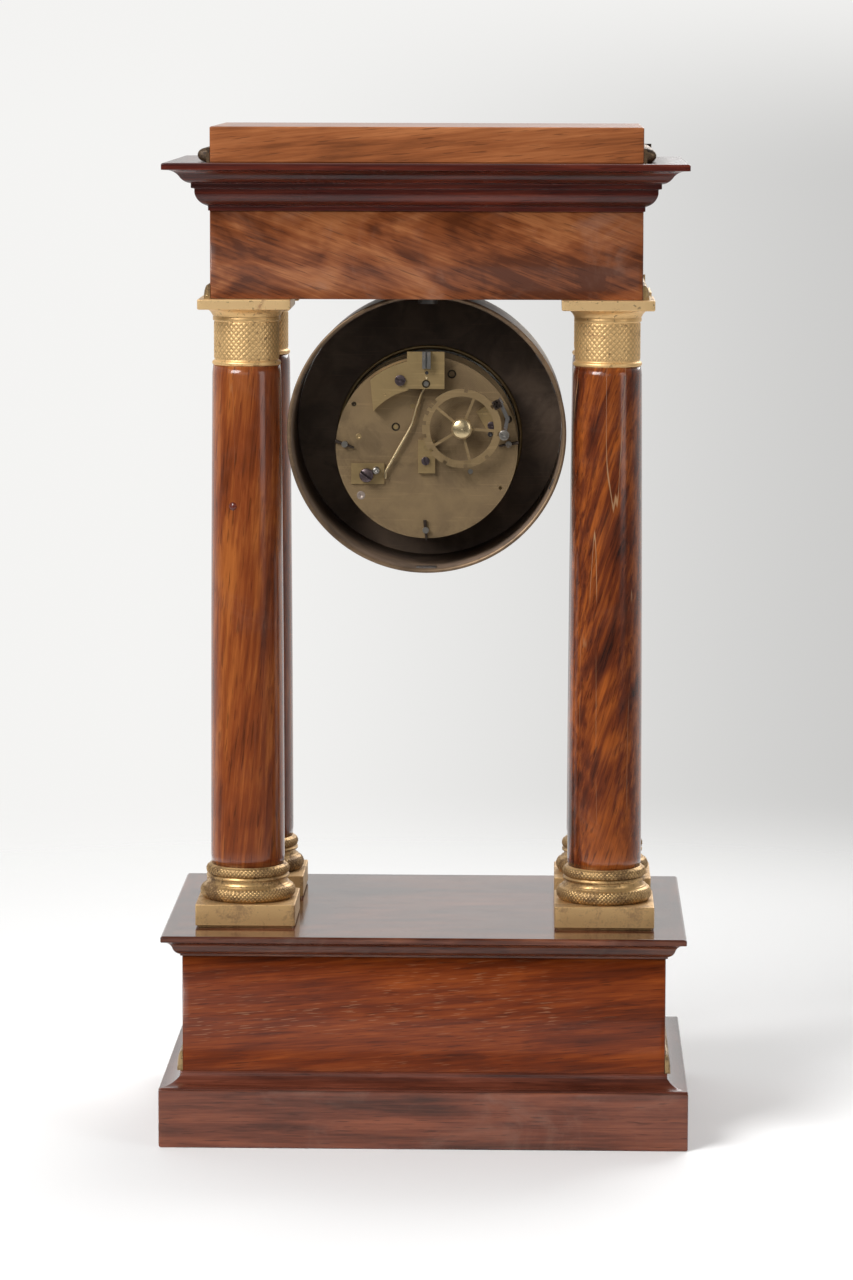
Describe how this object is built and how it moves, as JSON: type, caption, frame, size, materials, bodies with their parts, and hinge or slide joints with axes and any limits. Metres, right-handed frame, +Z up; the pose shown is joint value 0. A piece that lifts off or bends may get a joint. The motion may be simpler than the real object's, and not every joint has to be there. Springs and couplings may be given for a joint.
{
  "type": "mantel clock",
  "caption": "Portico mantel clock: mahogany base and entablature on gilt-capped columns, with a brass drum, glazed door, dial, hands and striking movement.",
  "frame": {"origin": "centre of the plinth's footprint, on the surface it stands on", "axes": "+Z up along the columns; +X to the right for someone who faces the dial; -Y towards that person, so the movement's open back faces +Y"},
  "size_m": [0.2606, 0.1816, 0.4998],
  "materials": {
    "mahogany": "french polished, deep gloss",
    "gilt_bronze": "mercury gilt, worn, burnished and matt",
    "movement_brass": "old lacquered brass, dulled",
    "drum_brass": "spun sheet, tarnished",
    "steel": "turned and wiped, lightly rusted",
    "blued_steel": "heat blued, polished",
    "dial_enamel": "white vitreous enamel, gloss",
    "door_glass": "clear domed glass"
  },
  "bodies": {
    "case": {"plinth": "mahogany", "plinth_moulding": "mahogany", "base_back_panel": "mahogany", "base_front_panel": "mahogany", "base_side_panels": "mahogany", "base_top": "mahogany", "architrave_back": "mahogany", "architrave_front": "mahogany", "architrave_sides": "mahogany", "soffit_board": "mahogany", "cornice": "mahogany", "attic_block": "mahogany", "column_shaft_rear_left": "mahogany", "column_shaft_rear_right": "mahogany", "column_shaft_front_left": "mahogany", "column_shaft_front_right": "mahogany", "attic_border": "gilt_bronze", "architrave_border": "gilt_bronze", "base_border": "gilt_bronze", "column_base_rear_left": "gilt_bronze", "column_base_rear_right": "gilt_bronze", "column_base_front_left": "gilt_bronze", "column_base_front_right": "gilt_bronze", "column_capital_rear_left": "gilt_bronze", "column_capital_rear_right": "gilt_bronze", "column_capital_front_left": "gilt_bronze", "column_capital_front_right": "gilt_bronze", "back_plate": "movement_brass", "front_plate": "movement_brass", "pallet_bridge": "movement_brass", "suspension_post": "movement_brass", "plate_cocks": "movement_brass", "drum_shell": "drum_brass", "drum_front_plate": "drum_brass", "pillars": "steel", "pillar_pins": "steel", "plate_screws": "steel", "column_tie_rods": "steel", "drum_bolts": "steel", "dial": "dial_enamel"},
    "door": {"bezel": "gilt_bronze", "bezel_glass": "door_glass"},
    "minute_arbor": {"centre_wheel": "movement_brass", "minute_hand": "blued_steel"},
    "hour_pipe": {"hour_wheel": "movement_brass", "hour_hand": "blued_steel"},
    "minute_work": {"minute_wheel": "movement_brass"},
    "going_barrel_body": {"going_barrel": "movement_brass"},
    "third_arbor": {"third_wheel": "movement_brass"},
    "escape_arbor": {"escape_wheel": "movement_brass"},
    "pallet_arbor": {"anchor": "steel", "crutch": "steel"},
    "strike_second_arbor": {"second_wheel": "movement_brass", "countwheel": "movement_brass"},
    "strike_barrel_body": {"strike_barrel": "movement_brass"},
    "pin_arbor": {"pin_wheel": "movement_brass"},
    "detent": {"detent_lever": "steel"},
    "going_winder": {"going_winding_arbor": "steel"},
    "strike_winder": {"strike_winding_arbor": "steel"}
  },
  "joints": [
    {"name": "door_hinge", "type": "hinge", "parent": "case", "child": "door", "pos_m": [0.0645, -0.0245, 0.3423], "axis": [0, 0, 1], "range_deg": [0, 80]},
    {"name": "minute_turn", "type": "hinge", "parent": "case", "child": "minute_arbor", "pos_m": [0, 0, 0.3423], "axis": [0, 1, 0], "continuous": true},
    {"name": "hour_turn", "type": "hinge", "parent": "case", "child": "hour_pipe", "pos_m": [0, 0, 0.3423], "axis": [0, 1, 0], "continuous": true},
    {"name": "minute_wheel_turn", "type": "hinge", "parent": "case", "child": "minute_work", "pos_m": [0, 0, 0.3567], "axis": [0, 1, 0], "continuous": true},
    {"name": "going_barrel_turn", "type": "hinge", "parent": "case", "child": "going_barrel_body", "pos_m": [0.0216, 0, 0.3305], "axis": [0, 1, 0], "continuous": true},
    {"name": "third_turn", "type": "hinge", "parent": "case", "child": "third_arbor", "pos_m": [0.0153, 0, 0.3525], "axis": [0, 1, 0], "continuous": true},
    {"name": "escape_turn", "type": "hinge", "parent": "case", "child": "escape_arbor", "pos_m": [0.007, 0, 0.3628], "axis": [0, 1, 0], "continuous": true},
    {"name": "pallet_rock", "type": "hinge", "parent": "case", "child": "pallet_arbor", "pos_m": [0.0002, 0, 0.3743], "axis": [0, 1, 0], "range_deg": [-2, 2]},
    {"name": "count_wheel_turn", "type": "hinge", "parent": "case", "child": "strike_second_arbor", "pos_m": [-0.0174, 0, 0.3524], "axis": [0, 1, 0], "continuous": true},
    {"name": "strike_barrel_turn", "type": "hinge", "parent": "case", "child": "strike_barrel_body", "pos_m": [-0.0216, 0, 0.3305], "axis": [0, 1, 0], "continuous": true},
    {"name": "pin_wheel_turn", "type": "hinge", "parent": "case", "child": "pin_arbor", "pos_m": [-0.02865, 0, 0.3594], "axis": [0, 1, 0], "continuous": true},
    {"name": "detent_lift", "type": "hinge", "parent": "case", "child": "detent", "pos_m": [-0.0382, 0, 0.3492], "axis": [0, -1, 0], "range_deg": [0, 8]},
    {"name": "going_wind", "type": "hinge", "parent": "case", "child": "going_winder", "pos_m": [0.0216, 0, 0.3305], "axis": [0, 1, 0], "continuous": true},
    {"name": "strike_wind", "type": "hinge", "parent": "case", "child": "strike_winder", "pos_m": [-0.0216, 0, 0.3305], "axis": [0, 1, 0], "continuous": true}
  ],
  "couplings": [
    {"joint": "third_turn", "follows": "escape_turn", "ratio": -0.16667},
    {"joint": "minute_turn", "follows": "escape_turn", "ratio": 0.020833},
    {"joint": "minute_wheel_turn", "follows": "escape_turn", "ratio": -0.0069444},
    {"joint": "hour_turn", "follows": "escape_turn", "ratio": 0.0017361},
    {"joint": "going_barrel_turn", "follows": "escape_turn", "ratio": -0.0052083},
    {"joint": "count_wheel_turn", "follows": "pin_wheel_turn", "ratio": -0.16667},
    {"joint": "strike_barrel_turn", "follows": "pin_wheel_turn", "ratio": 0.027778}
  ]
}
